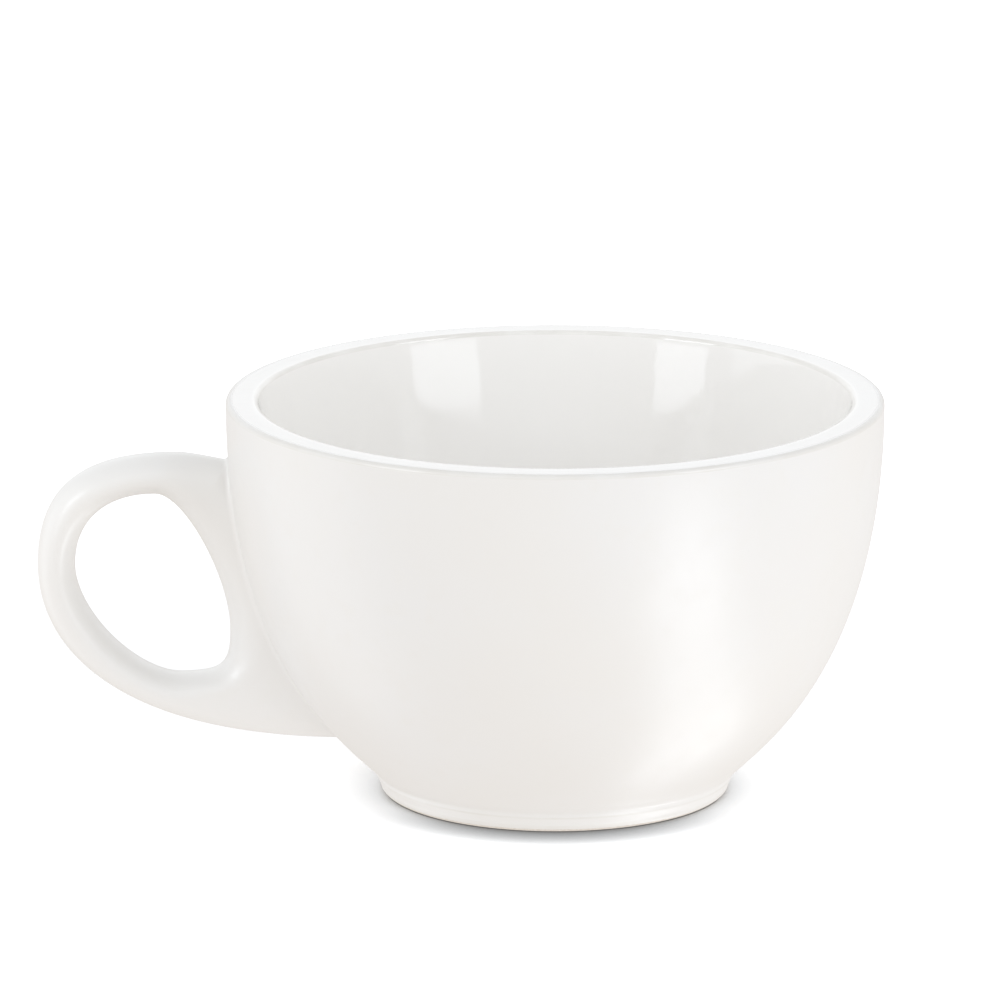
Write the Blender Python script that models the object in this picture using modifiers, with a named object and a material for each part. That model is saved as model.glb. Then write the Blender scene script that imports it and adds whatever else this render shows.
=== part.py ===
"""Latte cup: a turned stoneware bowl on a low foot ring, and a closed ring handle luted to its wall.

The bowl is one turned piece. The handle is a ring moulded by itself, whose back is flared and follows
the bowl's wall, and a thin coat of slip holds it there. The handle points along -X.
"""

from functools import lru_cache
from math import cos, degrees, hypot, pi, radians, sin

import bmesh
import bpy
import numpy as np
from mathutils import Vector
from mathutils.geometry import interpolate_bezier

MM = 0.001

# Bowl
CUP_HEIGHT = 66.0 * MM
RIM_RADIUS = 54.0 * MM
RIM_WALL = 5.4 * MM
LIP_ROUND = 0.8 * MM
FLOOR_THICKNESS = 5.0 * MM
WALL_DROP = 42.5 * MM  # pull of the outer wall straight down from the rim
WALL_FLARE = 6.2 * MM  # pull of the outer wall where it leaves the foot
WALL_LEAN = radians(46.0)  # slope of the outer wall there
INSIDE_LEAN = radians(10.0)  # of the inner wall at the rim, off the upright
INSIDE_DROP = 40.0 * MM  # pull of the inner wall down from the rim
INSIDE_FLOOR = 34.0 * MM  # pull of the inner floor outward from the middle

# Foot ring
FOOT_RADIUS = 29.4 * MM  # at the neck, where the bowl begins
FOOT_HEIGHT = 2.6 * MM
FOOT_DRAFT = 0.6 * MM
FOOT_EDGE_ROUND = 1.3 * MM
FOOT_LAND = 3.0 * MM  # width of the ring that stands on the table
FOOT_RECESS = 1.8 * MM
RECESS_SLOPE = 3.2 * MM  # width of the soft step from the ring up into the recess
NECK_OUT = 1.6 * MM  # size of the hollow curve between foot and wall
NECK_UP = 2.2 * MM

# Handle outline
HANDLE_REACH = 31.1 * MM  # past the rim
HANDLE_DROP = 9.4 * MM  # from the rim down to the top of the handle
TAIL_HEIGHT = 8.4 * MM  # from the table up to the tail
TOP_THICKNESS = 6.7 * MM
GRIP_THICKNESS = 6.2 * MM
HEEL_THICKNESS = 11.0 * MM
WEB_THICKNESS = 6.4 * MM  # between the finger hole and the wall
ROOT_SAG = 1.3 * MM  # from the top of the hump down to where the handle meets the wall
ROOT_SLOPE = radians(12.0)
ROOT_PULL = 2.5 * MM
TAIL_PULL = 14.0 * MM

# Handle section
GRIP_DEPTH = 10.6 * MM
WEB_DEPTH = 11.0 * MM
BACK_DEPTH = 12.4 * MM  # width of the back against the wall, without its fillet
GRIP_CREST = 4.5 * MM  # the section is deepest at most this far from the finger hole
WEB_CREST = 6.5 * MM
FLARE_RUN = 5.0 * MM  # distance from the wall at which the back begins to widen
FILLET_RUN = 1.4 * MM  # distance from the wall at which the fillet begins
FILLET = 1.0 * MM  # how far the fillet spreads along the wall
FILLET_GROWTH = 14.0 * MM  # the fillet grows over this height above the tail

# Places along the finger hole, as shares of its width and height
CROWN_AT = 0.48
HEEL_AT = 0.32
GRIP_AT = 0.60
BACK_AT = 0.24
HUMP_AT = 0.34
CROWN_FULLNESS = 0.61
HEEL_FULLNESS = 0.43
CORNER_FULLNESS = 0.81
BACK_FULLNESS = 0.38
SHOULDER_FULLNESS = 0.69
SWEEP_FULLNESS = 0.61

# Places of the outer edge and of the finger hole that stand opposite each other: the whole number is
# the run or quarter, the rest the share of it
EDGE_MARKS = (0.0, 1.08, 2.0, 2.52, 3.0, 3.36, 4.0)
HOLE_MARKS = (3.8, 0.0, 1.0, 1.88, 2.3, 3.0, 3.8)

# Joint between handle and bowl
JOINT_GAP = 0.3 * MM
SLIP_THICKNESS = 0.4 * MM

# Fineness of the facets
TURN_STEPS = 72
WALL_STEPS = 18
RIDGE_STATIONS = 60
BACK_STATIONS = 30
CROWDING = 0.6  # how much closer the stations stand near the root and the tail
NOSE_STEPS = 4
SIDE_STEPS = 6
NOSE_SHARE = 0.7  # most of a section that the nose steps may take
BACK_COLUMNS = 2

MERGE = 0.01 * MM

HANDLE_TOP = CUP_HEIGHT - HANDLE_DROP
HANDLE_END = RIM_RADIUS + HANDLE_REACH
BOWL_AXIS_X = HANDLE_REACH / 2  # puts the middle of the cup's length at the origin


def curve(start, start_pull, end_pull, end, count):
    """Points from start to end; each pull is the tangent at its end, as a vector."""
    return interpolate_bezier(start, start + start_pull, end - end_pull, end, count)


def quarter(start, end, fullness, level_first, count=40):
    """Quarter turn between two extremes of an outline; a larger fullness is squarer."""
    level = Vector((end.x - start.x, 0.0)) * fullness
    upright = Vector((0.0, end.y - start.y)) * fullness
    if level_first:
        return curve(start, level, upright, end, count)
    return curve(start, upright, level, end, count)


def arc(centre, radius, first, last, count=4):
    """Points of an arc in the turning plane, between two angles in degrees."""
    angles = np.radians(np.linspace(first, last, count))
    return [centre + radius * Vector((cos(a), sin(a))) for a in angles]


def outer_wall(count):
    """Outside of the bowl from the rim down to where the hollow of the neck begins."""
    rim = Vector((RIM_RADIUS, CUP_HEIGHT - LIP_ROUND))
    base = Vector((FOOT_RADIUS + NECK_OUT, FOOT_HEIGHT + NECK_UP))
    lean = Vector((-cos(WALL_LEAN), -sin(WALL_LEAN)))
    return curve(rim, Vector((0.0, -WALL_DROP)), lean * WALL_FLARE, base, count)


def bowl_profile():
    """Half section of the bowl, from the middle of the floor over the rim to the underside."""
    lip = Vector((RIM_RADIUS - RIM_WALL + LIP_ROUND, CUP_HEIGHT - LIP_ROUND))
    inner_lip = arc(lip, LIP_ROUND, 180 - degrees(INSIDE_LEAN), 90)
    floor = Vector((0.0, FOOT_RECESS + FLOOR_THICKNESS))
    rising = Vector((sin(INSIDE_LEAN), cos(INSIDE_LEAN))) * INSIDE_DROP
    inside = curve(floor, Vector((INSIDE_FLOOR, 0.0)), rising, inner_lip[0], WALL_STEPS)
    wall = outer_wall(WALL_STEPS)
    outer_lip = arc(wall[0] - Vector((LIP_ROUND, 0.0)), LIP_ROUND, 90, 0)

    neck = Vector((FOOT_RADIUS, FOOT_HEIGHT))
    lean = Vector((-cos(WALL_LEAN), -sin(WALL_LEAN)))
    hollow = curve(wall[-1], lean * NECK_OUT, Vector((0.0, -NECK_UP / 2)), neck, 5)
    stand = FOOT_RADIUS - FOOT_DRAFT - FOOT_EDGE_ROUND
    edge = arc(Vector((stand, FOOT_EDGE_ROUND)), FOOT_EDGE_ROUND, 0, -90)
    land = Vector((stand - FOOT_LAND, 0.0))
    recess = land + Vector((-RECESS_SLOPE, FOOT_RECESS))
    level = Vector((-RECESS_SLOPE / 2, 0.0))
    step = curve(land, level, level, recess, 6)
    underside = step + [Vector((0.0, FOOT_RECESS))]
    return inside[:-1] + inner_lip + outer_lip + wall[1:] + hollow[1:] + edge + underside


@lru_cache
def lifted_wall(lift):
    """Radii and heights of a surface lifted off the bowl's outside by a distance."""
    wall = np.array(outer_wall(160))[::-1]
    run = np.gradient(wall, axis=0)
    normal = np.column_stack([run[:, 1], -run[:, 0]])
    lifted = wall + lift * normal / np.linalg.norm(normal, axis=1)[:, None]
    return lifted[:, 0], lifted[:, 1]


def wall_radius(height, lift):
    """Radius of the lifted outside of the bowl at a height."""
    radii, heights = lifted_wall(lift)
    return np.interp(height, heights, radii)


def on_wall(y, z, lift):
    """Point on the lifted outside of the bowl, on the handle's side."""
    radius = wall_radius(z, lift)
    return Vector((-((radius**2 - y**2) ** 0.5), y, z))


def crowded(count):
    """Shares of a path from 0 to 1 that stand closer together near both of its ends."""
    even = np.linspace(0.0, 1.0, count)
    return even - CROWDING * np.sin(2 * pi * even) / (2 * pi)


def spaced(path, shares):
    """Points at given shares of a path's length."""
    path = np.array(path)
    along = travelled(path)
    return np.column_stack([np.interp(shares * along[-1], along, column) for column in path.T])


def travelled(path):
    """Distance along a path at each of its points."""
    steps = np.linalg.norm(np.diff(np.array(path), axis=0), axis=1)
    return np.concatenate([[0.0], np.cumsum(steps)])


def finger_hole():
    """Outline of the finger hole in four quarters: crown to grip, to heel, to back, to crown."""
    top = HANDLE_TOP - TOP_THICKNESS
    bottom = TAIL_HEIGHT + HEEL_THICKNESS
    far = HANDLE_END - GRIP_THICKNESS
    back_height = bottom + BACK_AT * (top - bottom)
    near = wall_radius(back_height, 0.0) + WEB_THICKNESS
    width = far - near
    crown = Vector((near + CROWN_AT * width, top))
    grip = Vector((far, bottom + GRIP_AT * (top - bottom)))
    heel = Vector((near + HEEL_AT * width, bottom))
    back = Vector((near, back_height))
    return [
        quarter(crown, grip, CROWN_FULLNESS, True),
        quarter(grip, heel, HEEL_FULLNESS, False),
        quarter(heel, back, CORNER_FULLNESS, True),
        quarter(back, crown, BACK_FULLNESS, False),
    ]


def outer_edge(lift):
    """Outer edge of the ring in four runs: root to hump, to grip, to tail, and back behind the wall."""
    hole = finger_hole()
    near = hole[2][-1].x
    far = hole[0][-1].x
    root_height = HANDLE_TOP - ROOT_SAG
    root = Vector((wall_radius(root_height, lift), root_height))
    root_pull = Vector((cos(ROOT_SLOPE), sin(ROOT_SLOPE))) * ROOT_PULL
    hump = Vector((near + HUMP_AT * (far - near), HANDLE_TOP))
    grip = Vector((HANDLE_END, hole[0][-1].y))
    tail = Vector((wall_radius(TAIL_HEIGHT, lift), TAIL_HEIGHT))
    return [
        curve(root, root_pull, Vector((ROOT_PULL, 0.0)), hump, 40),
        quarter(hump, grip, SHOULDER_FULLNESS, True),
        quarter(grip, tail, SWEEP_FULLNESS, False, 80),
        curve(tail, Vector((-TAIL_PULL, 0.0)), root_pull, root, 80),
    ]


def matched_hole(runs, stations):
    """Points of the finger hole opposite points of the outer edge, given as distances along it."""
    hole = finger_hole()
    loop = np.array(hole[0] + hole[1][1:] + hole[2][1:] + hole[3][1:])
    along = travelled(loop)
    run_ends = np.cumsum([0.0] + [travelled(run)[-1] for run in runs])
    quarter_ends = np.cumsum([0.0] + [travelled(part)[-1] for part in hole])
    length = run_ends[-1]
    total = quarter_ends[-1]
    edge_marks = np.interp(EDGE_MARKS, range(5), run_ends)
    hole_marks = np.interp(HOLE_MARKS, range(5), quarter_ends)
    hole_marks[0] -= total
    fine = np.arange(-600, 1200) / 600
    laps = np.floor(fine)
    places = np.interp((fine - laps) * length, edge_marks, hole_marks) + laps * total
    window = np.hanning(101)
    places = np.convolve(places, window / window.sum(), mode="same")
    wanted = np.interp(np.array(stations) / length, fine, places) % total
    return np.column_stack([np.interp(wanted, along, column) for column in loop.T])


def section(nose, edge, depth, crest, lift):
    """Half of a section across the ring, from the finger hole to its outer edge or to the wall.

    It swells from the nose to its crest, half of depth off the middle plane, sinks again toward the
    edge as a quarter ellipse, and widens close to the wall.
    """
    length = (edge - nose).length
    crest_share = 0.5 / (1 + (length / 2 / crest) ** 4) ** 0.25
    flare = BACK_DEPTH / depth - 1

    def clearance(share):
        out, height = nose.lerp(edge, share)
        if share < crest_share:
            fall = 1 - share / crest_share
        else:
            fall = (share - crest_share) / (1 - crest_share)
        y = depth / 2 * max(1 - fall * fall, 0.0) ** 0.5
        closeness = 1 - (hypot(out, y) - wall_radius(height, lift)) / FLARE_RUN
        y *= 1 + flare * min(max(closeness, 0.0), 1.0) ** 2
        return hypot(out, y) - wall_radius(height, lift), Vector((-out, y, height))

    last = 1.0
    if clearance(last)[0] < -MERGE:
        first = 0.0
        for _ in range(30):
            middle = (first + last) / 2
            if clearance(middle)[0] > 0:
                first = middle
            else:
                last = middle
    knee = min(crest_share, NOSE_SHARE * last)
    shares = [knee * (1 - cos(turn)) for turn in np.linspace(0, pi / 2, NOSE_STEPS + 1)]
    for turn in np.linspace(0, pi / 2, SIDE_STEPS + 1)[1:]:
        shares.append(knee + (last - knee) * sin(turn))
    return [clearance(share)[1] for share in shares]


def filleted(sections, lift):
    """Spreads the sections along the wall where they come close to it."""
    points = np.array(sections)
    around = np.roll(points, -1, axis=0) - np.roll(points, 1, axis=0)
    normals = np.cross(around, np.gradient(points, axis=1))
    normals[points[:, :, 1] == 0.0, 1] = 0.0
    normals /= np.linalg.norm(normals, axis=2)[:, :, None]

    heights = points[:, :, 2]
    radii = np.hypot(points[:, :, 0], points[:, :, 1])
    lean = np.arctan((wall_radius(heights + MM, lift) - wall_radius(heights - MM, lift)) / (2 * MM))
    wall_normals = points / radii[:, :, None] * np.cos(lean)[:, :, None]
    wall_normals[:, :, 2] = -np.sin(lean)
    clear = (radii - wall_radius(heights, lift)) * np.cos(lean)
    facing = np.sum(normals * wall_normals, axis=2)
    grown = np.clip((heights - TAIL_HEIGHT) / FILLET_GROWTH, 0.0, 1.0)
    spread = FILLET * grown * np.clip(1 - clear / FILLET_RUN, 0.0, 1.0) ** 2
    along = normals - facing[:, :, None] * wall_normals
    along /= np.linalg.norm(along, axis=2)[:, :, None]

    moved = points + along * spread[:, :, None]
    wanted = wall_radius(moved[:, :, 2], lift) + clear / np.cos(lean)
    moved[:, :, :2] *= (wanted / np.hypot(moved[:, :, 0], moved[:, :, 1]))[:, :, None]
    points[spread > 0] = moved[spread > 0]
    return [[Vector(point) for point in row] for row in points]


def half_handle(lift):
    """Sections of the handle's half at y >= 0, round the ring from the root over the grip."""
    runs = outer_edge(lift)
    ridge = runs[0] + runs[1][1:] + runs[2][1:]
    ridge_length = travelled(ridge)[-1]
    back_length = travelled(runs[3])[-1]
    ridge_shares = crowded(RIDGE_STATIONS)
    back_shares = crowded(BACK_STATIONS)[1:-1]
    edges = np.concatenate([spaced(ridge, ridge_shares), spaced(runs[3], back_shares)])
    stations = np.concatenate([ridge_shares * ridge_length, ridge_length + back_shares * back_length])
    noses = matched_hole(runs, stations)
    webs = np.concatenate([np.zeros(RIDGE_STATIONS), np.sin(pi * back_shares) ** 2])

    sections = []
    for nose, edge, web in zip(noses, edges, webs):
        depth = GRIP_DEPTH + (WEB_DEPTH - GRIP_DEPTH) * web
        crest = GRIP_CREST + (WEB_CREST - GRIP_CREST) * web
        sections.append(section(Vector(nose), Vector(edge), depth, crest, lift))
    return filleted(sections, lift)


def add_object(name, mesh, collection, colour, roughness):
    """Puts a mesh into the cup with its own material, smooth but for its sharp edges."""
    material = bpy.data.materials.new(name)
    material.use_nodes = True
    shader = material.node_tree.nodes["Principled BSDF"]
    shader.inputs["Base Color"].default_value = (*colour, 1.0)
    shader.inputs["Roughness"].default_value = roughness
    shader.inputs["Metallic"].default_value = 0.0
    mesh.materials.append(material)
    item = bpy.data.objects.new(name, mesh)
    item.location.x = BOWL_AXIS_X
    collection.objects.link(item)
    return item


def make_bowl(collection):
    """Turns the bowl with its foot ring about its axis."""
    profile = bowl_profile()
    mesh = bpy.data.meshes.new("bowl")
    edges = [(i, i + 1) for i in range(len(profile) - 1)]
    mesh.from_pydata([(p.x, 0.0, p.y) for p in profile], edges, [])
    bowl = add_object("bowl", mesh, collection, (0.80, 0.78, 0.74), 0.35)
    turn = bowl.modifiers.new("turned about the axis", "SCREW")
    turn.axis = "Z"
    turn.steps = TURN_STEPS
    turn.render_steps = TURN_STEPS
    turn.use_smooth_shade = True
    turn.use_merge_vertices = True
    turn.merge_threshold = MERGE
    return bowl


def make_handle(collection, sections, lift):
    """Lofts one half of the ring with its flared back, open at the middle plane, and mirrors it."""
    shape = bmesh.new()
    rows = [[shape.verts.new(p) for p in row] for row in sections]
    for row, following in zip(rows, rows[1:] + rows[:1]):
        for a, b, c, d in zip(row, following, following[1:], row[1:]):
            shape.faces.new((a, b, c, d))

    tail = rows[RIDGE_STATIONS - 1][-1]
    root = rows[0][-1]
    strips = []
    for row in rows[RIDGE_STATIONS:]:
        end = row[-1]
        strip = [end]
        for column in range(1, BACK_COLUMNS + 1):
            y = end.co.y * (1 - column / BACK_COLUMNS)
            strip.append(shape.verts.new(on_wall(y, end.co.z, lift)))
        strips.append(strip)
    for strip, following in zip(strips, strips[1:]):
        for a, b, c, d in zip(strip, following, following[1:], strip[1:]):
            shape.faces.new((a, b, c, d))
    for a, b in zip(strips[0], strips[0][1:]):
        shape.faces.new((tail, a, b))
    for a, b in zip(strips[-1], strips[-1][1:]):
        shape.faces.new((a, root, b))

    mesh = bpy.data.meshes.new("handle")
    shape.to_mesh(mesh)
    shape.free()
    mesh.shade_smooth()
    mesh.set_sharp_from_angle(angle=radians(40.0))
    handle = add_object("handle", mesh, collection, (0.80, 0.78, 0.74), 0.35)
    mirror = handle.modifiers.new("other half", "MIRROR")
    mirror.use_axis = (False, True, False)
    mirror.use_mirror_merge = True
    mirror.merge_threshold = MERGE
    return handle


def make_slip_joint(collection, edge):
    """Spreads the coat of slip over the handle's back, clear of handle and wall by the joint gap."""
    columns = 2 * BACK_COLUMNS
    coat = bmesh.new()
    strips = []
    for point in edge[1:-1]:
        widths = [point.y * (1 - 2 * column / columns) for column in range(columns + 1)]
        strips.append([coat.verts.new(on_wall(y, point.z, JOINT_GAP)) for y in widths])
    for strip, following in zip(strips, strips[1:]):
        for a, b, c, d in zip(strip, following, following[1:], strip[1:]):
            coat.faces.new((d, c, b, a))
    for tip, strip in ((edge[0], strips[0]), (edge[-1], strips[-1][::-1])):
        point = coat.verts.new(on_wall(0.0, tip.z, JOINT_GAP))
        for a, b in zip(strip, strip[1:]):
            coat.faces.new((b, a, point))
    mesh = bpy.data.meshes.new("slip_joint")
    coat.to_mesh(mesh)
    coat.free()
    mesh.shade_smooth()
    slip = add_object("slip_joint", mesh, collection, (0.76, 0.72, 0.66), 0.7)
    thicken = slip.modifiers.new("coat thickness", "SOLIDIFY")
    thicken.thickness = SLIP_THICKNESS
    thicken.offset = 1.0
    thicken.use_even_offset = True
    return slip


def main():
    for item in list(bpy.data.objects):
        bpy.data.objects.remove(item, do_unlink=True)
    cup = bpy.data.collections.new("latte_cup")
    bpy.context.scene.collection.children.link(cup)
    make_bowl(cup)
    lift = 2 * JOINT_GAP + SLIP_THICKNESS
    sections = half_handle(lift)
    make_handle(cup, sections, lift)
    back = sections[RIDGE_STATIONS - 1 :] + sections[:1]
    make_slip_joint(cup, [section[-1] for section in back])


main()
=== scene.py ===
"""Looks of the latte cup: white glaze over a turned bowl and a ring handle, in a plain studio."""

from functools import lru_cache
from math import atan2, cos, hypot, pi, radians, sin, tan

import bmesh
import bpy
import numpy as np
from mathutils import Matrix, Vector
from mathutils.geometry import interpolate_bezier


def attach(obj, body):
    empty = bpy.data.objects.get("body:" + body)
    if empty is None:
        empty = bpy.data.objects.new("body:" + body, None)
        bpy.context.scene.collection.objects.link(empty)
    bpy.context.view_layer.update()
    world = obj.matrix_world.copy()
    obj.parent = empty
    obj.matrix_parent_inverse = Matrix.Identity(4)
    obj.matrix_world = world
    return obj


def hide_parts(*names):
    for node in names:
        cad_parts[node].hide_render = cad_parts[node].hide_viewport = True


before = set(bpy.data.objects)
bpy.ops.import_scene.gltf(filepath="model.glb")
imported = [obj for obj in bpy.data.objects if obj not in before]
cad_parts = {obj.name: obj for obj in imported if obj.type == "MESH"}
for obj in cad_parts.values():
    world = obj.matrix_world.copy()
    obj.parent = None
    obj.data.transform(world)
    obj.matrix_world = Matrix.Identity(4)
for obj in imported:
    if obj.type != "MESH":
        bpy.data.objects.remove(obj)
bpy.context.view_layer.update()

MM = 0.001

# The cup's sizes, as in its CAD model
CUP_HEIGHT = 66.0 * MM
RIM_RADIUS = 54.0 * MM
RIM_WALL = 5.4 * MM
LIP_ROUND = 0.8 * MM
FLOOR_THICKNESS = 5.0 * MM
WALL_DROP = 42.5 * MM
WALL_FLARE = 6.2 * MM
WALL_LEAN = radians(46.0)
INSIDE_LEAN = radians(10.0)
INSIDE_DROP = 40.0 * MM
INSIDE_FLOOR = 34.0 * MM
FOOT_RADIUS = 29.4 * MM
FOOT_HEIGHT = 2.6 * MM
FOOT_DRAFT = 0.6 * MM
FOOT_EDGE_ROUND = 1.3 * MM
FOOT_LAND = 3.0 * MM
FOOT_RECESS = 1.8 * MM
RECESS_SLOPE = 3.2 * MM
NECK_OUT = 1.6 * MM
NECK_UP = 2.2 * MM
HANDLE_REACH = 31.1 * MM
HANDLE_DROP = 9.4 * MM
TAIL_HEIGHT = 8.4 * MM
TOP_THICKNESS = 6.7 * MM
GRIP_THICKNESS = 6.2 * MM
HEEL_THICKNESS = 11.0 * MM
WEB_THICKNESS = 6.4 * MM
ROOT_SAG = 1.3 * MM
ROOT_SLOPE = radians(12.0)
ROOT_PULL = 2.5 * MM
TAIL_PULL = 14.0 * MM
GRIP_DEPTH = 10.6 * MM
WEB_DEPTH = 11.0 * MM
BACK_DEPTH = 12.4 * MM
GRIP_CREST = 4.5 * MM
WEB_CREST = 6.5 * MM
FLARE_RUN = 5.0 * MM
CROWN_AT = 0.48
HEEL_AT = 0.32
GRIP_AT = 0.60
BACK_AT = 0.24
HUMP_AT = 0.34
CROWN_FULLNESS = 0.61
HEEL_FULLNESS = 0.43
CORNER_FULLNESS = 0.81
BACK_FULLNESS = 0.38
SHOULDER_FULLNESS = 0.69
SWEEP_FULLNESS = 0.61
EDGE_MARKS = (0.0, 1.08, 2.0, 2.52, 3.0, 3.36, 4.0)
HOLE_MARKS = (3.8, 0.0, 1.0, 1.88, 2.3, 3.0, 3.8)
HANDLE_TOP = CUP_HEIGHT - HANDLE_DROP
HANDLE_END = RIM_RADIUS + HANDLE_REACH
BOWL_AXIS_X = HANDLE_REACH / 2

# The glaze that fills the crease between handle and wall
FILLET = 1.0 * MM
FILLET_GROWTH = 14.0 * MM
SINK = -0.03 * MM  # the handle's back lies this far into the wall, so that no gap shows

# Fineness of the bowl, as points along its profile and around it
TURN_STEPS = 288
WALL_POINTS = 80
ROUND_POINTS = 12
BEND_POINTS = 16
LAND_POINTS = 8
DRAFT_POINTS = 5
RING_POINTS = 7
CEILING_POINTS = 14
GLAZED_EDGE_POINTS = 5
ON_AXIS = 1e-7

# Fineness of the handle
WALL_SAMPLES = 400
OUTLINE_POINTS = 120
LONG_OUTLINE_POINTS = 240
LAP_SAMPLES = 2400
SMOOTHING_SAMPLES = 401
RIDGE_STATIONS = 200
BACK_STATIONS = 110
CROWDING = 0.6
NOSE_STEPS = 12
SIDE_STEPS = 24
NOSE_SHARE = 0.7
BACK_COLUMNS = 4
TOUCHING = 0.01 * MM
HALVINGS = 30
MERGE_DISTANCE = 0.002 * MM
SHARP_ANGLE = radians(50.0)

# Colours of the glaze and of the bare clay
GLAZE = (0.791, 0.789, 0.780, 1.0)
GLAZE_WARM = (0.788, 0.779, 0.758, 1.0)
GLAZE_POOL = (0.782, 0.773, 0.750, 1.0)
# The inside's whiter glaze: partly its own glaze, partly painted fill light that brightens the
# shaded inside
INSIDE_GLAZE_AND_PAINTED_FILL = (0.905, 0.891, 0.866, 1.0)
GLAZE_THIN = (0.70, 0.675, 0.63, 1.0)
SPECK = (0.50, 0.44, 0.36, 1.0)
BISCUIT = (0.74, 0.70, 0.645, 1.0)
BISCUIT_DARK = (0.60, 0.555, 0.49, 1.0)

# Detail of the glaze: scales are per metre, and ranges are of the noise that steers the detail
CLOUD_SCALE = 26.0
CLOUD_RANGE = (0.40, 0.66)
FINE_SCALE = 260.0
POOL_RANGE = (0.55, 0.75)
POOL_SHARE = 0.5
INSIDE_SHARE = 0.9
HANDLE_PAINTED_FILL = 0.25  # share of the inside's whiter glaze given to the whole handle: painted fill light that makes it paler
SOFT_BEND = 0.1  # of the profile, per mm: gentler bends keep all of their glaze
WORN_BEND = 0.8  # and lips as tight as this are rubbed thin
THIN_SCALE = 120.0
THIN_RANGE = (0.35, 0.65)
THIN_SHARES = (0.25, 0.6)
SPECK_SCALE = 420.0
SPECK_RARITY = 0.93
SPECK_EDGE = (0.04, 0.09)
SPECK_SHARE = 0.55
GRAIN_SCALE = 2600.0
GRAIN_RANGE = (0.35, 0.70)
EDGE_SCALE = 180.0
EDGE_RANGE = (0.3, 0.7)
EDGE_WANDER = (-0.18, 0.18)
BARE_EDGE = (0.42, 0.58)
GLOSS_RANGE = (0.3, 0.7)
SATIN_ROUGHNESS = (0.29, 0.37)
INSIDE_ROUGHNESS = (0.045, 0.08)
BISCUIT_ROUGHNESS = 0.85
PEEL_SCALE = 420.0
PEEL_HEIGHT = 0.012  # heights of the relief are in mm
SWELL_SCALE = 55.0
SWELL_HEIGHT = 0.05
GRIT_HEIGHT = 0.06
GLAZE_IOR = 1.75

# Studio. Each lamp is an upright panel: the azimuth that it faces, the azimuths of its two sides,
# its bottom and top in metres, and its radiance. Azimuths are in degrees to the camera's right.
LAMPS = (
    ("right_window", 12.0, 31.0, 59.0, 0.0, 0.30, 1.15),
    ("left_window", -12.0, -62.5, -41.0, 0.0, 0.30, 1.15),
    ("right_upper", 56.0, 46.0, 68.0, 0.42, 1.2, 2.95),
    ("left_upper", -56.0, -68.0, -46.0, 0.42, 0.9, 4.1),
    ("front_upper", -4.0, -24.0, 16.0, 0.9, 1.9, 0.35),
    ("left_side", -98.0, -120.0, -75.0, -1.6, 1.3, 0.42),
    ("back", 180.0, 150.0, 210.0, 0.3, 0.9, 0.36),
)
LAMP_DISTANCE = 1.3

# The window that a glossy table would mirror: strips under the table that shine upward, each with
# the two ends of its middle line, its width and its radiance
STRIPS = (
    ("strip_far", Vector((3.1, -2.85, -1.2)), Vector((1.37, -0.95, -1.2)), 1.15, 2.15),
    ("strip_near", Vector((1.37, -0.95, -1.2)), Vector((0.62, 0.62, -1.2)), 0.72, 1.45),
)
LAMP_COLOUR = (0.945, 0.995, 1.065)

# The world: a room above, and below it the light that comes back from the table
TABLE_COLOUR = (1.04, 0.985, 0.935, 1.0)
TABLE_LIGHT = 0.785
ROOM_LIGHT = 1.0
ZENITH_LIGHT = 0.57
ZENITH_RANGE = (0.3, 1.0)
HORIZON_RANGE = (-0.02, 0.02)
WHITE = (1.0, 1.0, 1.0, 1.0)
WHITE_LIGHT = 1.0

# The table: white enough that only the shadow close to the foot shows; that shadow is painted into
# its colour from ambient occlusion, deepest in front
TABLE_WHITE = (1.235, 1.25, 1.265, 1.0)
FAR_WHITE = (2.2, 2.2, 2.2, 1.0)
FAR_RANGE = (0.12, 0.5)
CONTACT_SHADE = (0.175, 0.18, 0.187, 1.0)
CONTACT_REACH = 8.0 * MM
CONTACT_SAMPLES = 16
CONTACT_RANGE = (0.2, 0.85)
FRONT_TO_SIDE = (-42.0 * MM, -12.0 * MM)
FRONT_TO_SIDE_POWER = (1.45, 0.25)
TABLE_REACH = 4.0
TABLE_DROP = 0.05 * MM

# Camera: the photograph's, found from the cup's outline
CAMERA_DISTANCE = 1.700
CAMERA_ELEVATION = radians(14.153)
CAMERA_TARGET = Vector((BOWL_AXIS_X, 0.0, 40.0 * MM))
FOCAL_PIXELS = 10338.6
IMAGE_PIXELS = 1000.0
TARGET_PIXEL = (556.6, 551.28)
SENSOR_WIDTH = 36.0
CLIP_START = 0.05
CLIP_END = 20.0


def curve(start, start_pull, end_pull, end, count):
    return interpolate_bezier(start, start + start_pull, end - end_pull, end, count)


def quarter(start, end, fullness, level_first, count=OUTLINE_POINTS):
    """A curve that leaves one point level or upright and reaches the other the other way."""
    level = Vector((end.x - start.x, 0.0)) * fullness
    upright = Vector((0.0, end.y - start.y)) * fullness
    if level_first:
        return curve(start, level, upright, end, count)
    return curve(start, upright, level, end, count)


def arc(centre, radius, first, last, count):
    angles = np.radians(np.linspace(first, last, count))
    return [centre + radius * Vector((cos(a), sin(a))) for a in angles]


def outer_wall(count):
    rim = Vector((RIM_RADIUS, CUP_HEIGHT - LIP_ROUND))
    base = Vector((FOOT_RADIUS + NECK_OUT, FOOT_HEIGHT + NECK_UP))
    lean = Vector((-cos(WALL_LEAN), -sin(WALL_LEAN)))
    return curve(rim, Vector((0.0, -WALL_DROP)), lean * WALL_FLARE, base, count)


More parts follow.
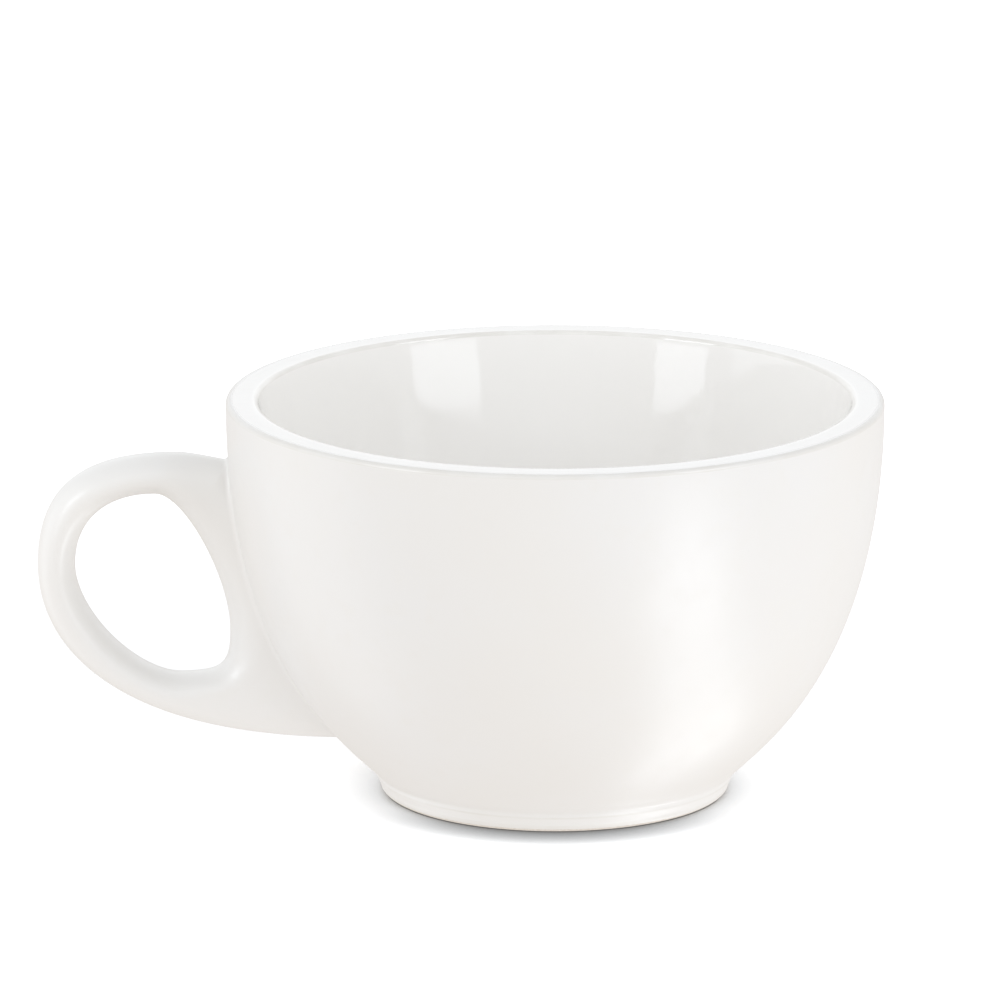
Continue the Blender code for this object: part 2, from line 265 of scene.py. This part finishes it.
def bowl_profile():
    """Half section of the bowl: its points, how far inside each is, and how bare of glaze."""
    lean = np.degrees(INSIDE_LEAN)
    lip = Vector((RIM_RADIUS - RIM_WALL + LIP_ROUND, CUP_HEIGHT - LIP_ROUND))
    inner_lip = arc(lip, LIP_ROUND, 180 - lean, 90, ROUND_POINTS)
    floor = Vector((0.0, FOOT_RECESS + FLOOR_THICKNESS))
    rising = Vector((sin(INSIDE_LEAN), cos(INSIDE_LEAN))) * INSIDE_DROP
    inside = curve(floor, Vector((INSIDE_FLOOR, 0.0)), rising, inner_lip[0], WALL_POINTS)
    wall = outer_wall(WALL_POINTS)
    outer_lip = arc(wall[0] - Vector((LIP_ROUND, 0.0)), LIP_ROUND, 90, 0, ROUND_POINTS)
    land_shares = np.linspace(0, 1, LAND_POINTS)[1:-1]
    land = [inner_lip[-1].lerp(outer_lip[0], t) for t in land_shares]

    neck = Vector((FOOT_RADIUS, FOOT_HEIGHT))
    falling = Vector((-cos(WALL_LEAN), -sin(WALL_LEAN)))
    hollow = curve(
        wall[-1], falling * NECK_OUT, Vector((0.0, -NECK_UP / 2)), neck, BEND_POINTS
    )
    stand = FOOT_RADIUS - FOOT_DRAFT - FOOT_EDGE_ROUND
    edge = arc(Vector((stand, FOOT_EDGE_ROUND)), FOOT_EDGE_ROUND, 0, -90, ROUND_POINTS)
    draft = [neck.lerp(edge[0], t) for t in np.linspace(0, 1, DRAFT_POINTS)[1:-1]]
    inner = stand - FOOT_LAND
    ring_shares = np.linspace(0, 1, RING_POINTS)[1:-1]
    ring = [Vector((stand - t * FOOT_LAND, 0.0)) for t in ring_shares]
    level = Vector((-RECESS_SLOPE / 2, 0.0))
    recess = Vector((inner - RECESS_SLOPE, FOOT_RECESS))
    step = curve(Vector((inner, 0.0)), level, level, recess, BEND_POINTS)
    ceiling_shares = np.linspace(1, 0, CEILING_POINTS)[1:]
    ceiling = [Vector((t * recess.x, FOOT_RECESS)) for t in ceiling_shares]

    profile = []
    for points, within, bare in (
        (inside[:-1], 1.0, 0.0),
        (inner_lip, 1.0, 0.0),
        (land, 0.5, 0.0),
        (outer_lip, 0.0, 0.0),
        (wall[1:], 0.0, 0.0),
        (hollow[1:], 0.0, 0.0),
        (draft, 0.0, 0.0),
        (edge[:GLAZED_EDGE_POINTS], 0.0, 0.0),
        (edge[GLAZED_EDGE_POINTS:], 0.0, 1.0),
        (ring, 0.0, 1.0),
        (step, 0.0, 0.6),
        (ceiling, 0.0, 0.0),
    ):
        profile += [(p, within, bare) for p in points]
    return profile


@lru_cache
def lifted_wall(lift):
    """Radii and heights of the bowl's outside, moved outward by lift."""
    wall = np.array(outer_wall(WALL_SAMPLES))[::-1]
    run = np.gradient(wall, axis=0)
    normal = np.column_stack([run[:, 1], -run[:, 0]])
    lifted = wall + lift * normal / np.linalg.norm(normal, axis=1)[:, None]
    return lifted[:, 0], lifted[:, 1]


def wall_radius(height, lift):
    radii, heights = lifted_wall(lift)
    return np.interp(height, heights, radii)


def on_wall(y, z, lift):
    radius = wall_radius(z, lift)
    return Vector((-((radius**2 - y**2) ** 0.5), y, z))


def crowded(count):
    """Shares from 0 to 1 that lie closer together near both ends."""
    even = np.linspace(0.0, 1.0, count)
    return even - CROWDING * np.sin(2 * pi * even) / (2 * pi)


def travelled(path):
    """How far along the path each of its points is."""
    steps = np.linalg.norm(np.diff(np.array(path), axis=0), axis=1)
    return np.concatenate([[0.0], np.cumsum(steps)])


def spaced(path, shares):
    path = np.array(path)
    along = travelled(path)
    return np.column_stack([np.interp(shares * along[-1], along, column) for column in path.T])


def finger_hole():
    """The hole's outline in four quarters, as distances from the bowl's axis and heights."""
    top = HANDLE_TOP - TOP_THICKNESS
    bottom = TAIL_HEIGHT + HEEL_THICKNESS
    far = HANDLE_END - GRIP_THICKNESS
    back_height = bottom + BACK_AT * (top - bottom)
    near = wall_radius(back_height, 0.0) + WEB_THICKNESS
    width = far - near
    crown = Vector((near + CROWN_AT * width, top))
    grip = Vector((far, bottom + GRIP_AT * (top - bottom)))
    heel = Vector((near + HEEL_AT * width, bottom))
    back = Vector((near, back_height))
    return [
        quarter(crown, grip, CROWN_FULLNESS, True),
        quarter(grip, heel, HEEL_FULLNESS, False),
        quarter(heel, back, CORNER_FULLNESS, True),
        quarter(back, crown, BACK_FULLNESS, False),
    ]


def outer_edge(lift):
    """The handle's outer outline in three runs, and its back along the wall as a fourth."""
    hole = finger_hole()
    near = hole[2][-1].x
    far = hole[0][-1].x
    root_height = HANDLE_TOP - ROOT_SAG
    root = Vector((wall_radius(root_height, lift), root_height))
    root_pull = Vector((cos(ROOT_SLOPE), sin(ROOT_SLOPE))) * ROOT_PULL
    hump = Vector((near + HUMP_AT * (far - near), HANDLE_TOP))
    grip = Vector((HANDLE_END, hole[0][-1].y))
    tail = Vector((wall_radius(TAIL_HEIGHT, lift), TAIL_HEIGHT))
    return [
        curve(root, root_pull, Vector((ROOT_PULL, 0.0)), hump, OUTLINE_POINTS),
        quarter(hump, grip, SHOULDER_FULLNESS, True),
        quarter(grip, tail, SWEEP_FULLNESS, False, LONG_OUTLINE_POINTS),
        curve(tail, Vector((-TAIL_PULL, 0.0)), root_pull, root, LONG_OUTLINE_POINTS),
    ]


def matched_hole(runs, stations):
    """For each station along the outer edge, the point of the finger hole across from it."""
    hole = finger_hole()
    loop = np.array(hole[0] + hole[1][1:] + hole[2][1:] + hole[3][1:])
    along = travelled(loop)
    run_ends = np.cumsum([0.0] + [travelled(run)[-1] for run in runs])
    quarter_ends = np.cumsum([0.0] + [travelled(part)[-1] for part in hole])
    length = run_ends[-1]
    total = quarter_ends[-1]
    edge_marks = np.interp(EDGE_MARKS, range(len(run_ends)), run_ends)
    hole_marks = np.interp(HOLE_MARKS, range(len(quarter_ends)), quarter_ends)
    hole_marks[0] -= total
    fine = np.arange(-LAP_SAMPLES, 2 * LAP_SAMPLES) / LAP_SAMPLES
    laps = np.floor(fine)
    places = np.interp((fine - laps) * length, edge_marks, hole_marks) + laps * total
    window = np.hanning(SMOOTHING_SAMPLES)
    places = np.convolve(places, window / window.sum(), mode="same")
    wanted = np.interp(np.array(stations) / length, fine, places) % total
    return np.column_stack([np.interp(wanted, along, column) for column in loop.T])


def section(nose, edge, depth, crest, lift):
    """Half of the handle's section, from the hole's edge over the crest to the edge or wall."""
    length = (edge - nose).length
    crest_share = 0.5 / (1 + (length / 2 / crest) ** 4) ** 0.25
    flare = BACK_DEPTH / depth - 1

    def clearance(share):
        out, height = nose.lerp(edge, share)
        if share < crest_share:
            fall = 1 - share / crest_share
        else:
            fall = (share - crest_share) / (1 - crest_share)
        y = depth / 2 * max(1 - fall * fall, 0.0) ** 0.5
        closeness = 1 - (hypot(out, y) - wall_radius(height, lift)) / FLARE_RUN
        y *= 1 + flare * min(max(closeness, 0.0), 1.0) ** 2
        return hypot(out, y) - wall_radius(height, lift), Vector((-out, y, height))

    last = 1.0
    if clearance(last)[0] < -TOUCHING:
        first = 0.0
        for _ in range(HALVINGS):
            middle = (first + last) / 2
            if clearance(middle)[0] > 0:
                first = middle
            else:
                last = middle
    knee = min(crest_share, NOSE_SHARE * last)
    shares = [knee * (1 - cos(turn)) for turn in np.linspace(0, pi / 2, NOSE_STEPS + 1)]
    for turn in np.linspace(0, pi / 2, SIDE_STEPS + 1)[1:]:
        shares.append(knee + (last - knee) * sin(turn))
    return [clearance(share)[1] for share in shares]


def filleted(sections, lift):
    """The sections, spread along the wall where they come close to it."""
    points = np.array(sections)
    around = np.roll(points, -1, axis=0) - np.roll(points, 1, axis=0)
    normals = np.cross(around, np.gradient(points, axis=1))
    normals[points[:, :, 1] == 0.0, 1] = 0.0
    normals /= np.linalg.norm(normals, axis=2)[:, :, None]

    heights = points[:, :, 2]
    radii = np.hypot(points[:, :, 0], points[:, :, 1])
    rise = wall_radius(heights + MM, lift) - wall_radius(heights - MM, lift)
    lean = np.arctan(rise / (2 * MM))
    wall_normals = points / radii[:, :, None] * np.cos(lean)[:, :, None]
    wall_normals[:, :, 2] = -np.sin(lean)
    clear = (radii - wall_radius(heights, lift)) * np.cos(lean)
    facing = np.sum(normals * wall_normals, axis=2)
    grown = np.clip((heights - TAIL_HEIGHT) / FILLET_GROWTH, 0.0, 1.0)
    rounding = np.clip(1 - clear / FILLET, 0.0, 1.0)
    spread = FILLET * grown * (1 - np.sqrt(1 - rounding**2))
    along = normals - facing[:, :, None] * wall_normals
    along /= np.linalg.norm(along, axis=2)[:, :, None]

    moved = points + along * spread[:, :, None]
    wanted = wall_radius(moved[:, :, 2], lift) + clear / np.cos(lean)
    moved[:, :, :2] *= (wanted / np.hypot(moved[:, :, 0], moved[:, :, 1]))[:, :, None]
    points[spread > 0] = moved[spread > 0]
    return [[Vector(point) for point in row] for row in points]


def half_handle(lift):
    """Sections of the handle's half with y above 0, around the ring from its root."""
    runs = outer_edge(lift)
    ridge = runs[0] + runs[1][1:] + runs[2][1:]
    ridge_length = travelled(ridge)[-1]
    back_length = travelled(runs[3])[-1]
    ridge_shares = crowded(RIDGE_STATIONS)
    back_shares = crowded(BACK_STATIONS)[1:-1]
    edges = np.concatenate([spaced(ridge, ridge_shares), spaced(runs[3], back_shares)])
    stations = np.concatenate(
        [ridge_shares * ridge_length, ridge_length + back_shares * back_length]
    )
    noses = matched_hole(runs, stations)
    webs = np.concatenate([np.zeros(RIDGE_STATIONS), np.sin(pi * back_shares) ** 2])

    sections = []
    for nose, edge, web in zip(noses, edges, webs):
        depth = GRIP_DEPTH + (WEB_DEPTH - GRIP_DEPTH) * web
        crest = GRIP_CREST + (WEB_CREST - GRIP_CREST) * web
        sections.append(section(Vector(nose), Vector(edge), depth, crest, lift))
    return filleted(sections, lift)


def lip_wear(before, here, after):
    """How far a lip of the profile is worn, from how tightly it is rounded outward."""
    arrive = here - before
    leave = after - here
    turn = atan2(arrive.y * leave.x - arrive.x * leave.y, arrive.dot(leave))
    bend = 2 * turn / (arrive.length + leave.length)
    return min(1.0, max(0.0, (bend * MM - SOFT_BEND) / (WORN_BEND - SOFT_BEND)))


def make_bowl():
    profile = bowl_profile()
    points = [point for point, inside, unglazed in profile]
    wear = [lip_wear(*three) for three in zip(points, points[1:], points[2:])]
    shape = bmesh.new()
    within = shape.verts.layers.float.new("within")
    bare = shape.verts.layers.float.new("bare")
    worn = shape.verts.layers.float.new("worn")
    rows = []
    for (point, inside, unglazed), rubbed in zip(profile, [0.0] + wear + [0.0]):
        count = 1 if point.x < ON_AXIS else TURN_STEPS
        row = []
        for step in range(count):
            turn = 2 * pi * step / TURN_STEPS
            x = BOWL_AXIS_X + point.x * cos(turn)
            vert = shape.verts.new((x, point.x * sin(turn), point.y))
            vert[within] = inside
            vert[bare] = unglazed
            vert[worn] = rubbed
            row.append(vert)
        rows.append(row)
    for row, following in zip(rows, rows[1:]):
        for step in range(TURN_STEPS):
            onward = (step + 1) % TURN_STEPS
            if len(row) == 1:
                shape.faces.new((row[0], following[step], following[onward]))
            elif len(following) == 1:
                shape.faces.new((row[step], following[0], row[onward]))
            else:
                shape.faces.new((row[step], following[step], following[onward], row[onward]))
    return finish_mesh(shape, "cup_bowl")


def bridge(shape, row, following):
    for a, b, c, d in zip(row, following, following[1:], row[1:]):
        shape.faces.new((a, b, c, d))


def make_handle():
    shape = bmesh.new()
    painted_fill = shape.verts.layers.float.new("painted_fill")
    rows = [[shape.verts.new(p) for p in row] for row in half_handle(SINK)]
    for row, following in zip(rows, rows[1:] + rows[:1]):
        bridge(shape, row, following)

    # The back: strips along the wall, from the sections' ends to the middle plane
    tail = rows[RIDGE_STATIONS - 1][-1]
    root = rows[0][-1]
    strips = []
    for row in rows[RIDGE_STATIONS:]:
        end = row[-1]
        strip = [end]
        for column in range(1, BACK_COLUMNS + 1):
            y = end.co.y * (1 - column / BACK_COLUMNS)
            strip.append(shape.verts.new(on_wall(y, end.co.z, SINK)))
        strips.append(strip)
    for strip, following in zip(strips, strips[1:]):
        bridge(shape, strip, following)
    for a, b in zip(strips[0], strips[0][1:]):
        shape.faces.new((tail, a, b))
    for a, b in zip(strips[-1], strips[-1][1:]):
        shape.faces.new((a, root, b))

    half = shape.verts[:] + shape.edges[:] + shape.faces[:]
    bmesh.ops.mirror(
        shape, geom=half, matrix=Matrix.Identity(4), merge_dist=MERGE_DISTANCE, axis="Y"
    )
    bmesh.ops.translate(shape, verts=shape.verts[:], vec=(BOWL_AXIS_X, 0.0, 0.0))
    bmesh.ops.recalc_face_normals(shape, faces=shape.faces[:])
    # Painted fill light: every point of the handle takes a share of the inside's whiter glaze
    for vert in shape.verts:
        vert[painted_fill] = HANDLE_PAINTED_FILL
    return finish_mesh(shape, "cup_handle")


def finish_mesh(shape, name):
    mesh = bpy.data.meshes.new(name)
    shape.to_mesh(mesh)
    shape.free()
    mesh.shade_smooth()
    mesh.set_sharp_from_angle(angle=SHARP_ANGLE)
    return add_object(name, mesh)


def add_object(name, data):
    item = bpy.data.objects.new(name, data)
    bpy.context.scene.collection.objects.link(item)
    return item


class Nodes:
    """Adds shader nodes to a tree and links them."""

    def __init__(self, tree):
        self.tree = tree

    def add(self, kind, links=None, **settings):
        made = self.tree.nodes.new(kind)
        for key, value in settings.items():
            setattr(made, key, value)
        for key, value in (links or {}).items():
            socket = made.inputs[key]
            if isinstance(value, bpy.types.NodeSocket):
                self.tree.links.new(value, socket)
            else:
                socket.default_value = value
        return made

    def attribute(self, name):
        return self.add("ShaderNodeAttribute", attribute_name=name).outputs["Fac"]

    def noise(self, where, scale, detail):
        links = {"Vector": where, "Scale": scale, "Detail": detail}
        return self.add("ShaderNodeTexNoise", links).outputs["Fac"]

    def span(self, value, low, high, to_low, to_high, smooth=False):
        links = {"Value": value, "From Min": low, "From Max": high}
        links.update({"To Min": to_low, "To Max": to_high})
        kind = "SMOOTHSTEP" if smooth else "LINEAR"
        return self.add("ShaderNodeMapRange", links, interpolation_type=kind).outputs["Result"]

    def math(self, operation, first, second):
        links = {0: first, 1: second}
        return self.add("ShaderNodeMath", links, operation=operation).outputs["Value"]

    def mix(self, share, first, second):
        """A number between two numbers."""
        return self.add("ShaderNodeMix", {0: share, 2: first, 3: second}).outputs[0]

    def blend(self, share, first, second):
        """A colour between two colours."""
        links = {0: share, 6: first, 7: second}
        return self.add("ShaderNodeMix", links, data_type="RGBA").outputs[2]


def glaze_material():
    material = bpy.data.materials.new("white_glaze")
    material.use_nodes = True
    nodes = Nodes(material.node_tree)
    shader = material.node_tree.nodes["Principled BSDF"]
    where = nodes.add("ShaderNodeTexCoord").outputs["Object"]
    within = nodes.attribute("within")
    bare = nodes.attribute("bare")
    worn = nodes.attribute("worn")
    painted_fill = nodes.attribute("painted_fill")

    # Clouds and pools, and the whiter glaze of the inside and of the handle, which also paints
    # fill light onto the shaded inside and onto the handle
    cloud = nodes.noise(where, CLOUD_SCALE, 3.0)
    fine = nodes.noise(where, FINE_SCALE, 3.0)
    colour = nodes.blend(nodes.span(cloud, *CLOUD_RANGE, 0.0, 1.0), GLAZE, GLAZE_WARM)
    pooled = nodes.span(fine, *POOL_RANGE, 0.0, POOL_SHARE)
    colour = nodes.blend(pooled, colour, GLAZE_POOL)
    whiter = nodes.math("ADD", nodes.span(within, 0.0, 1.0, 0.0, INSIDE_SHARE), painted_fill)
    colour = nodes.blend(whiter, colour, INSIDE_GLAZE_AND_PAINTED_FILL)

    # Thinned glaze on the lips
    patchy = nodes.span(nodes.noise(where, THIN_SCALE, 3.0), *THIN_RANGE, *THIN_SHARES)
    colour = nodes.blend(nodes.math("MULTIPLY", worn, patchy), colour, GLAZE_THIN)

    # Specks
    cells = nodes.add("ShaderNodeTexVoronoi", {"Vector": where, "Scale": SPECK_SCALE})
    chosen = nodes.math("GREATER_THAN", cells.outputs["Color"], SPECK_RARITY)
    dot = nodes.span(cells.outputs["Distance"], *SPECK_EDGE, 1.0, 0.0)
    speck = nodes.math("MULTIPLY", nodes.math("MULTIPLY", chosen, dot), SPECK_SHARE)
    colour = nodes.blend(speck, colour, SPECK)

    # Bare clay on the standing ring, with a wandering edge
    grain = nodes.noise(where, GRAIN_SCALE, 2.0)
    biscuit = nodes.blend(nodes.span(grain, *GRAIN_RANGE, 0.0, 1.0), BISCUIT, BISCUIT_DARK)
    wander = nodes.span(nodes.noise(where, EDGE_SCALE, 2.0), *EDGE_RANGE, *EDGE_WANDER)
    unglazed = nodes.span(nodes.math("ADD", bare, wander), *BARE_EDGE, 0.0, 1.0, smooth=True)
    colour = nodes.blend(unglazed, colour, biscuit)
    nodes.tree.links.new(colour, shader.inputs["Base Color"])

    # Satin outside, glossy inside, dull where bare
    satin = nodes.span(fine, *GLOSS_RANGE, *SATIN_ROUGHNESS)
    gloss = nodes.span(fine, *GLOSS_RANGE, *INSIDE_ROUGHNESS)
    rough = nodes.mix(unglazed, nodes.mix(within, satin, gloss), BISCUIT_ROUGHNESS)
    nodes.tree.links.new(rough, shader.inputs["Roughness"])

    # Relief: fine peel and slow swells in the glaze, grit in the clay
    peel = nodes.math("MULTIPLY", nodes.noise(where, PEEL_SCALE, 2.0), PEEL_HEIGHT)
    swell = nodes.math("MULTIPLY", nodes.noise(where, SWELL_SCALE, 1.0), SWELL_HEIGHT)
    grit = nodes.math("MULTIPLY", nodes.math("MULTIPLY", grain, unglazed), GRIT_HEIGHT)
    height = nodes.math("ADD", nodes.math("ADD", peel, swell), grit)
    bump = nodes.add("ShaderNodeBump", {"Height": height, "Strength": 1.0, "Distance": MM})
    nodes.tree.links.new(bump.outputs["Normal"], shader.inputs["Normal"])
    shader.inputs["IOR"].default_value = GLAZE_IOR
    return material


def add_lamp(name, width, height, radiance, place, rotation):
    lamp = bpy.data.lights.new(name, "AREA")
    lamp.shape = "RECTANGLE"
    lamp.size = width
    lamp.size_y = height
    lamp.energy = radiance * pi * width * height
    lamp.color = LAMP_COLOUR
    item = add_object(name, lamp)
    item.location = place
    item.rotation_euler = rotation.to_euler()
    item.visible_camera = False


def make_lamps():
    axis = Vector((BOWL_AXIS_X, 0.0, 0.0))
    for name, facing, first, last, bottom, top, radiance in LAMPS:
        turn = radians(facing)
        toward = Vector((sin(turn), -cos(turn), 0.0))
        across = Vector((cos(turn), sin(turn), 0.0))
        near = LAMP_DISTANCE * tan(radians(first - facing))
        far = LAMP_DISTANCE * tan(radians(last - facing))
        place = axis + toward * LAMP_DISTANCE + across * ((near + far) / 2)
        place.z = (bottom + top) / 2
        rotation = toward.to_track_quat("Z", "Y")
        add_lamp(name, far - near, top - bottom, radiance, place, rotation)
    for name, start, end, width, radiance in STRIPS:
        run = end - start
        rotation = Matrix.Rotation(atan2(run.y, run.x), 3, "Z") @ Matrix.Rotation(pi, 3, "X")
        add_lamp(name, run.length, width, radiance, (start + end) / 2, rotation)


def table_material():
    material = bpy.data.materials.new("white_table")
    material.use_nodes = True
    material.node_tree.nodes.clear()
    nodes = Nodes(material.node_tree)
    # Painted shadow: the colour darkens where ambient occlusion finds the cup close, more in front
    # than at the sides
    nearby = {"Distance": CONTACT_REACH}
    clear = nodes.add("ShaderNodeAmbientOcclusion", nearby, samples=CONTACT_SAMPLES).outputs["AO"]
    here = nodes.add("ShaderNodeNewGeometry").outputs["Position"]
    y = nodes.add("ShaderNodeSeparateXYZ", {"Vector": here}).outputs["Y"]
    power = nodes.span(y, *FRONT_TO_SIDE, *FRONT_TO_SIDE_POWER, smooth=True)
    openness = nodes.math("POWER", nodes.span(clear, *CONTACT_RANGE, 0.0, 1.0), power)
    colour = nodes.blend(openness, CONTACT_SHADE, TABLE_WHITE)
    distance = nodes.add("ShaderNodeVectorMath", {0: here}, operation="LENGTH").outputs["Value"]
    colour = nodes.blend(nodes.span(distance, *FAR_RANGE, 0.0, 1.0), colour, FAR_WHITE)
    shade = nodes.add("ShaderNodeBsdfDiffuse", {"Color": colour}).outputs["BSDF"]
    nodes.add("ShaderNodeOutputMaterial", {"Surface": shade})
    return material


def make_floor():
    """The table, which only the camera sees: the world stands for the light that it gives back."""
    mesh = bpy.data.meshes.new("table")
    signs = ((-1, -1), (1, -1), (1, 1), (-1, 1))
    corners = [(x * TABLE_REACH, y * TABLE_REACH, 0.0) for x, y in signs]
    mesh.from_pydata(corners, [], [(0, 1, 2, 3)])
    mesh.materials.append(table_material())
    floor = add_object("table", mesh)
    floor.location.z = -TABLE_DROP
    floor.visible_diffuse = False
    floor.visible_glossy = False
    floor.visible_shadow = False


def make_world():
    world = bpy.data.worlds.new("studio")
    bpy.context.scene.world = world
    world.cycles.sampling_method = "NONE"
    world.use_nodes = True
    world.node_tree.nodes.clear()
    nodes = Nodes(world.node_tree)
    path = nodes.add("ShaderNodeLightPath").outputs
    where = nodes.add("ShaderNodeTexCoord").outputs["Generated"]
    height = nodes.add("ShaderNodeSeparateXYZ", {"Vector": where}).outputs["Z"]
    room = nodes.span(height, *ZENITH_RANGE, ROOM_LIGHT, ZENITH_LIGHT)
    above = nodes.mix(path["Is Diffuse Ray"], WHITE_LIGHT, room)
    upward = nodes.span(height, *HORIZON_RANGE, 0.0, 1.0)
    level = nodes.mix(upward, TABLE_LIGHT, above)
    strength = nodes.mix(path["Is Camera Ray"], level, WHITE_LIGHT)
    untinted = nodes.math("MAXIMUM", upward, path["Is Camera Ray"])
    colour = nodes.blend(untinted, TABLE_COLOUR, WHITE)
    light = nodes.add("ShaderNodeBackground", {"Color": colour, "Strength": strength})
    nodes.add("ShaderNodeOutputWorld", {"Surface": light.outputs[0]})


def make_camera():
    data = bpy.data.cameras.new("camera")
    data.sensor_width = SENSOR_WIDTH
    data.lens = FOCAL_PIXELS / IMAGE_PIXELS * SENSOR_WIDTH
    data.clip_start = CLIP_START
    data.clip_end = CLIP_END
    item = add_object("camera", data)
    toward = Vector((0.0, -cos(CAMERA_ELEVATION), sin(CAMERA_ELEVATION)))
    item.location = CAMERA_TARGET + toward * CAMERA_DISTANCE
    yaw = (TARGET_PIXEL[0] - IMAGE_PIXELS / 2) / FOCAL_PIXELS
    pitch = (TARGET_PIXEL[1] - IMAGE_PIXELS / 2) / FOCAL_PIXELS
    aim = Matrix.Rotation(pi / 2 - CAMERA_ELEVATION + pitch, 3, "X")
    item.rotation_euler = (Matrix.Rotation(yaw, 3, "Z") @ aim).to_euler()
    bpy.context.scene.camera = item


glaze = glaze_material()
bowl = make_bowl()
handle = make_handle()
for piece, nodes_replaced in ((bowl, ("bowl",)), (handle, ("handle", "slip_joint"))):
    piece.data.materials.append(glaze)
    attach(piece, "root")
    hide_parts(*nodes_replaced)
make_floor()
make_world()
make_lamps()
make_camera()
bpy.context.scene.view_settings.view_transform = "Standard"
